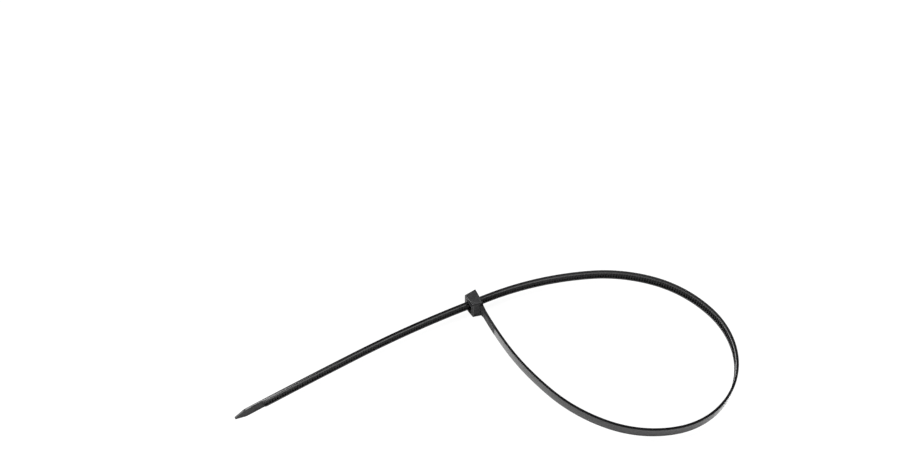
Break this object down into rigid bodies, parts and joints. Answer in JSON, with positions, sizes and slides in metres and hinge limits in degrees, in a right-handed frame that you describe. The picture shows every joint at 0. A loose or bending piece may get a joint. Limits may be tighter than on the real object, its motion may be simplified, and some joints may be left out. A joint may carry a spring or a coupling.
{
  "type": "cable tie",
  "caption": "Self-locking nylon cable tie drawn into a loop, with its toothed tail through a ratchet head, lying on its edge.",
  "frame": {"origin": "centre of the wide bend at the loop's far side, where a bundle seats, at the middle of the strap's width", "axes": "+X the way the strap runs out of the head's slot into the loop, -Y the way the neck leaves the head, +Z along the strap's width, upwards as the tie lies"},
  "size_m": [0.3543, 0.1644, 0.0166],
  "materials": {
    "black_nylon": "satin moulded nylon, textured on the head"
  },
  "bodies": {
    "root": {"cable_tie": "black_nylon"}
  },
  "joints": []
}
